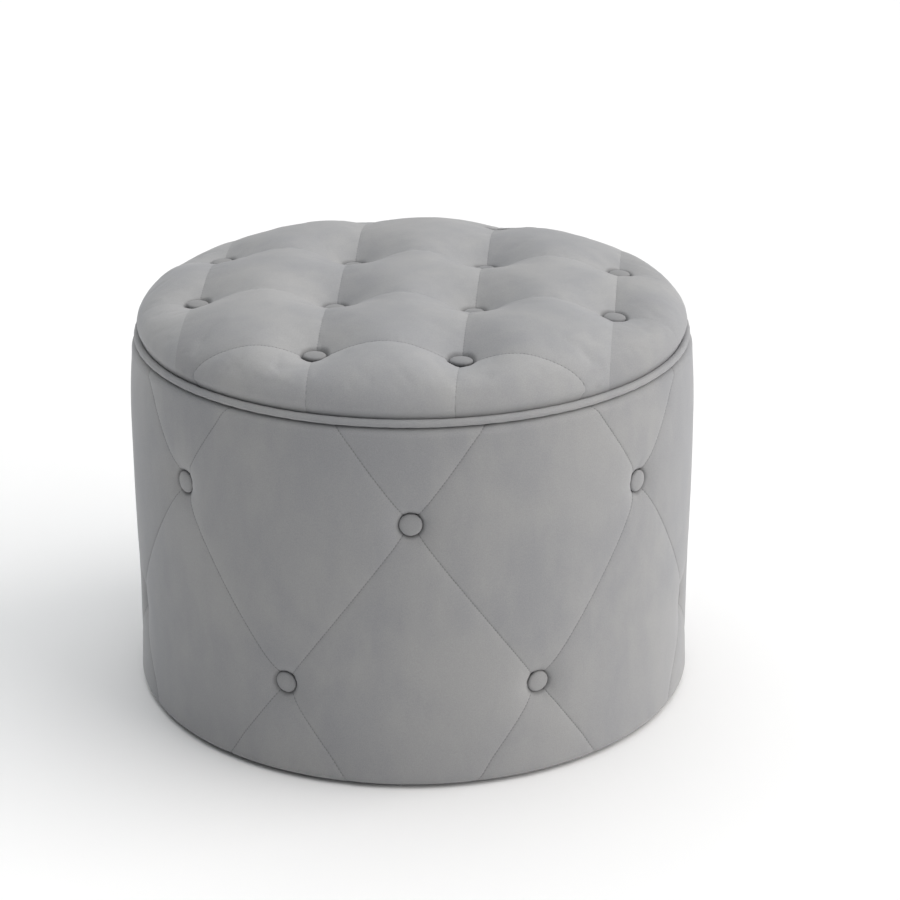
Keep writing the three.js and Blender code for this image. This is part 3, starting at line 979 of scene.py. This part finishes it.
def sew_lid_seams(mesh):
    """The cover with its seam lines cut in and drawn in, and its seam map."""
    sheet = bmesh.new()
    sheet.from_mesh(mesh)
    refine(sheet, from_lid_button, LID_FINE_REACH)
    cos, sin = math.cos(LID_TURN), math.sin(LID_TURN)
    for across in (Vector((cos, sin, 0)), Vector((-sin, cos, 0))):
        for seam in (-1.5, -0.5, 0.5, 1.5):
            for shift in SEAM_LINES:
                cut(sheet, across * (seam * LID_GRID + shift), across)
    sheet.normal_update()
    moves = []
    for vert in sheet.verts:
        u, v = lid_lattice(vert.co.x, vert.co.y)
        seams = sewn_depth(lid_seam_offsets(vert.co.x, vert.co.y), lid_seam_strength(u - 0.5, v - 0.5))
        hole = BUTTON_HOLE * under_button(from_lid_button(vert.co), -1 * MM, 3.5 * MM)
        moves.append(-vert.normal * seams - Vector((0, 0, hole)))
    for vert, move in zip(sheet.verts, moves):
        vert.co += move
    write_seam_map(sheet, lambda co: lid_lattice(co.x, co.y))
    return mesh_from("lid_cover", sheet)


def lid_hold(point):
    """How firmly the cover is held: fast at the buttons and the side, lightly along the seams."""
    x, y, _ = point
    at_button = under_button(from_lid_button(point), 4 * MM, 30 * MM)
    at_side = smooth(math.hypot(x, y), 0.97 * LID_EDGE_R, 0.998 * LID_EDGE_R)
    at_seam = 0.5 * bell(min(lid_seam_offsets(x, y)), 6 * MM)
    return max(at_button, at_side, at_seam)


def make_lid_cover(material):
    points, faces, top = lid_sheet()
    held = [lid_hold(point) if i < top else 1 for i, point in enumerate(points)]
    points = settle(points, faces, held)
    mesh = sew_lid_seams(mesh_of("lid_cover_plain", points, faces))
    padded_piece("velvet_lid_cover", mesh, "lid", material, "lid_cover", CLOTH)


# ---- Piping ----

PIPING_SIDES, PIPING_AROUND = 480, 18
CORD_STRANDS = 90  # how many strands of the cord show along the piping in one round


def make_piping(material):
    """A corded welt, slightly uneven, with the twist of its cord showing through."""

    def corded(angle, i, r, z):
        a = math.tau * i / PIPING_AROUND
        spot = (*polar(0.3, angle), 0)
        wobble = 0.25 * MM * soft_noise(spot, 0.03, 6.2)
        lift = 0.2 * MM * soft_noise(spot, 0.06, 8.8)
        twist = 0.12 * MM * math.sin(3 * a + CORD_STRANDS * angle)
        tube = PIPING_R + wobble * 0.4 + twist - 0.1 * MM
        return r + tube * math.cos(a), z + tube * math.sin(a) + lift

    core = [(PIPING_RING_R, PIPING_Z)] * PIPING_AROUND
    mesh = lathe("lid_piping", core, PIPING_SIDES, closed=True, shape=corded)
    padded_piece("velvet_lid_piping", mesh, "lid", material, "lid_piping")


# ---- Covered buttons ----

# Radius and height in millimetres, from the middle of the back round the edge to the middle of the face.
BUTTON_OUTLINE = [(0, 0), (6.5, 0), (8.8, 0.1), (10.4, 0.7), (11.1, 1.7), (11.25, 2.8), (10.95, 3.7),
                  (10.2, 4.4), (8.8, 4.95), (6.4, 5.45), (3.4, 5.8), (0, 5.95)]
BUTTON_TILT = 3  # degrees
SIDE_BUTTON_BACK = 2.4 * MM  # how far a side button's back is inside the plain button's middle
LID_BUTTON_BACK = 3 * MM


def button_mesh(name, seed):
    """A covered button, its back at the origin and its face along +Z, with gathers under the edge."""
    draw = random.Random(seed)
    phase = draw.uniform(0, 6.28)  # radians
    outline = [(r * MM, z * MM) for r, z in BUTTON_OUTLINE]

    def gathers(angle, i, r, z):
        if 1 < i < 5:
            return r + 0.22 * MM * math.sin(14 * angle + phase), z
        return (r + 0.08 * MM * math.sin(3 * angle + phase), z) if i < 9 else (r, z)

    return lathe(name, outline, 56, shape=gathers)


def make_buttons(names, body, face_of, material):
    for number, name in enumerate(names, 1):
        draw = random.Random(number * 17 + len(names))
        mesh = button_mesh(name, number)
        out, place = face_of(name)
        tilt = Matrix.Rotation(math.radians(draw.uniform(-BUTTON_TILT, BUTTON_TILT)), 4, "X")
        tilt = tilt @ Matrix.Rotation(math.radians(draw.uniform(-BUTTON_TILT, BUTTON_TILT)), 4, "Y")
        facing = out.to_track_quat("Z", "Y").to_matrix().to_4x4()
        mesh.transform(Matrix.Translation(place) @ facing @ tilt)
        padded_piece("covered_" + name, mesh, body, material, name)


def side_button_place(name):
    """The outward direction of a button on the drum, and the middle of its back."""
    spot = middle(name)
    out = Vector((spot.x, spot.y, 0)).normalized()
    return out, spot - out * SIDE_BUTTON_BACK


def lid_button_place(name):
    """The same for a button on the lid."""
    spot = middle(name)
    lift = LID_BUTTON_LIFT - LID_BUTTON_BACK - BACK_ROW_LOWER * at_back(spot.y)
    return Vector((0, 0, 1)), spot + Vector((0, 0, lift))


# ---- Foam, lining and dust cloths ----

CLEAR = 0.4 * MM
FOAM_FOOT_SLOPE = 0.6  # how fast the padding draws in below the foot's bend
FOAM_BULGE = 0.5 * MM  # the most that it stands out with the cover's relief
PANEL_THICKNESS = 3 * MM


def make_wall_foam(material):
    """The drum's padding, a little inside its cover and drawn in at the same buttons."""
    inner = FRAME_R + CLEAR
    low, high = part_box("wall_foam")[0].z + CLEAR, RIM_Z - CLOTH - 2 * CLEAR
    rows = 84
    outline = [(OUTER_R, low + (high - low) * i / rows) for i in range(rows + 1)]
    outline += [(inner, high), (inner, low)]

    def drawn_in(angle, i, r, z):
        if i > rows:
            return r, z
        above = max(z - (RIM_Z - ROLL_R), 0)
        roll = ROLL_R - math.sqrt(max(ROLL_R ** 2 - above ** 2, 0))
        below = max(FOOT_Z + FOOT_R - z, 0)
        plain = r - CLOTH - 2 * CLEAR - roll - shoulder(z) - FOAM_FOOT_SLOPE * below
        p = (angle - FRONT_BUTTON) * PER_ROW / math.tau
        return plain + min(wall_relief(p, z), FOAM_BULGE), z

    mesh = lathe("wall_foam", outline, 280, closed=True, shape=drawn_in)
    padded_piece("foam_wall_padding", mesh, "base", material, "wall_foam")


def make_rim_padding(material):
    """A flat ring of foam on the rim, slightly lumpy."""
    low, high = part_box("rim_padding")
    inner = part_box("inner_wall_panel")[1].x - PANEL_THICKNESS + CLEAR
    outer = high.x - CLEAR
    soft = 1 * MM
    outline = [(inner, low.z), (outer, low.z), (outer, high.z - soft), (outer - soft, high.z),
               (inner + soft, high.z), (inner, high.z - soft)]

    def uneven(angle, i, r, z):
        return r, z - (0.3 * MM * abs(math.sin(11 * angle)) if i in (3, 4) else 0)

    mesh = lathe("rim_padding", outline, 220, closed=True, shape=uneven)
    padded_piece("foam_rim_padding", mesh, "base", material, "rim_padding")


def make_lid_foam(material):
    """The lid's padding, under its cover and sunk at the same buttons."""
    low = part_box("lid_foam")[0].z + CLEAR
    edge = LID_EDGE_R - 9 * MM
    steps = 60
    outline = [(r, crown_height(r, 0)) for r in (edge * i / steps for i in range(steps + 1))]
    outline += [(edge, low), (edge / 2, low), (0, low)]

    def sunk(angle, i, r, z):
        if i > steps:
            return r, z
        x, y = polar(r, angle)
        hole = BUTTON_HOLE * under_button(from_lid_button((x, y)), 3 * MM, 12 * MM)
        return r, max(crown_height(x, y) - tuft_drop(x, y) - 2.5 * CLOTH - hole, low + 1 * MM)

    mesh = lathe("lid_foam", outline, 200, shape=sunk)
    padded_piece("foam_lid_padding", mesh, "lid", material, "lid_foam")


def make_lining(material):
    """The well's lining cloth: a floor disc sewn to a wall strip, lying close to the panels."""
    outer = LINING_HIGH.x - 1.2 * MM
    low, high = LINING_LOW.z + 0.1 * MM, LINING_HIGH.z
    corner = 6 * MM
    floor_steps, wall_steps = 24, 36
    outline = [(outer * 0.97 * i / floor_steps, low) for i in range(floor_steps + 1)]
    for t in (math.radians(degrees) for degrees in range(0, 91, 15)):
        outline.append((outer - corner * (1 - math.sin(t)), low + corner * (1 - math.cos(t))))
    rise = high - low - corner
    outline += [(outer, low + corner + rise * i / wall_steps) for i in range(1, wall_steps + 1)]

    def lies(angle, i, r, z):
        x, y = polar(r, angle)
        if i <= floor_steps:
            return r, z + 0.35 * MM * (1 + soft_noise((x, y, 0), 0.07, 4.4))
        up = smooth(z, low + corner, low + 40 * MM) * smooth(-z, -high, -high + 30 * MM)
        slack = 0.5 * (1 + soft_noise((x, y, z * 0.35), 0.045, 7.3)) * 1.1 * MM * up
        seam = 0.7 * MM * bell(z - low - corner, 2 * MM)
        return r - slack - seam, z

    mesh = lathe("storage_lining", outline, 300, shape=lies)
    lining = new_piece("cloth_storage_lining", mesh, "base", material)
    thicken(lining, -0.9 * MM)
    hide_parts("storage_lining")


STAPLE = (10 * MM, 0.9 * MM, 0.5 * MM)  # the length, width and thickness of its crown
STAPLE_SLANT = 12  # degrees


def make_dust_cloth(node, body, staple_r, staples, material, metal):
    """A disc of dust cloth pulled flat under a board, with the staples that hold its edge."""
    low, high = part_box(node)
    outer = high.x

    def sags(angle, i, r, z):
        spot = (*polar(r, angle), 0)
        pucker = 0.25 * MM * math.sin(staples * angle) * smooth(r, 0.8 * outer, outer)
        return r, z + 0.12 * MM * soft_noise(spot, 0.05, 9.1) + pucker

    steps = 26
    outline = [(outer * i / steps, high.z) for i in range(steps + 1)]
    mesh = lathe(node, outline, 320, shape=sags)
    cloth = new_piece("cloth_" + node, mesh, body, material)
    thicken(cloth, high.z - low.z - 0.3 * MM)
    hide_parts(node)

    crowns = bmesh.new()
    for k in range(staples):
        angle = math.tau * (k + 0.5) / staples
        bar = bmesh.ops.create_cube(crowns, size=1)["verts"]
        slant = random.Random(k).uniform(-STAPLE_SLANT, STAPLE_SLANT)
        place = Matrix.Rotation(angle, 4, "Z") @ Matrix.Translation((staple_r, 0, low.z - STAPLE[2] / 2))
        place = place @ Matrix.Rotation(math.radians(90 + slant), 4, "Z")
        place = place @ Matrix.Diagonal((*STAPLE, 1))
        bmesh.ops.transform(crowns, matrix=place, verts=bar)
    bmesh.ops.bevel(crowns, geom=crowns.edges[:], offset=0.12 * MM, segments=1, affect="EDGES")
    piece = new_piece("staples_" + node, mesh_from(node + "_staples", crowns), body, metal)
    for face in piece.data.polygons:
        face.use_smooth = False


# ---- Everything ----

make_camera()
make_studio()

wall_net = Lattice(LATTICE_SPACING, LATTICE_LENGTH, BUTTON_STEP / 2, ROW_GAP, on_lid=False)
lid_net = Lattice(LID_GRID, LID_GRID, LID_GRID / math.sqrt(2), LID_GRID / math.sqrt(2), on_lid=True)
wall_velvet = velvet("velvet_wall", 1.0, wall_net)
lid_velvet = velvet("velvet_lid", 1.09, lid_net)
piping_velvet = velvet("velvet_piping", 1.03)
side_button_velvet = velvet("velvet_side_button", 0.98)
# The lid buttons' velvet is darkened with painted shade, for the deep holes they sit in.
painted_shade_lid_button_velvet = velvet("velvet_lid_button_painted_shade", 0.8)
foam_cells = foam_material("foam")
lining_cloth = woven("lining", (0.05, 0.05, 0.056), (0.105, 0.105, 0.112), 1.1 * MM)
dust_cloth = non_woven("dust_cloth")
steel = zinc("zinc_steel")
plywood = wood("plywood", (0.48, 0.33, 0.19), (0.72, 0.56, 0.37), 0.0022, plies=True)
NODE_MATERIALS = {
    "base_board": plywood, "rim_ring": plywood, "lid_board": plywood, "lid_locating_ring": plywood,
    "wall_stud": wood("softwood", (0.5, 0.34, 0.18), (0.76, 0.58, 0.36), 0.0035),
    "foot_glide": plastic("glide_plastic"),
    "ring_screw": steel,
}
for side in ("inner", "outer"):
    hardboard = wood("hardboard_" + side, (0.17, 0.1, 0.055), (0.3, 0.19, 0.11), 0.0012)
    NODE_MATERIALS[side + "_wall_panel"] = hardboard

make_wall_cover(wall_velvet)
make_wall_foam(foam_cells)
make_rim_padding(foam_cells)
make_lid_cover(lid_velvet)
make_lid_foam(foam_cells)
make_piping(piping_velvet)
make_buttons(SIDE_BUTTONS, "base", side_button_place, side_button_velvet)
make_buttons(LID_BUTTONS, "lid", lid_button_place, painted_shade_lid_button_velvet)
make_lining(lining_cloth)
make_dust_cloth("base_dust_cover", "base", 262 * MM, 56, dust_cloth, steel)
make_dust_cloth("lid_dust_cover", "lid", 271 * MM, 58, dust_cloth, steel)
for name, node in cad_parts.items():
    for stem, material in NODE_MATERIALS.items():
        if name.startswith(stem):
            for slot in node.material_slots:
                slot.material = material
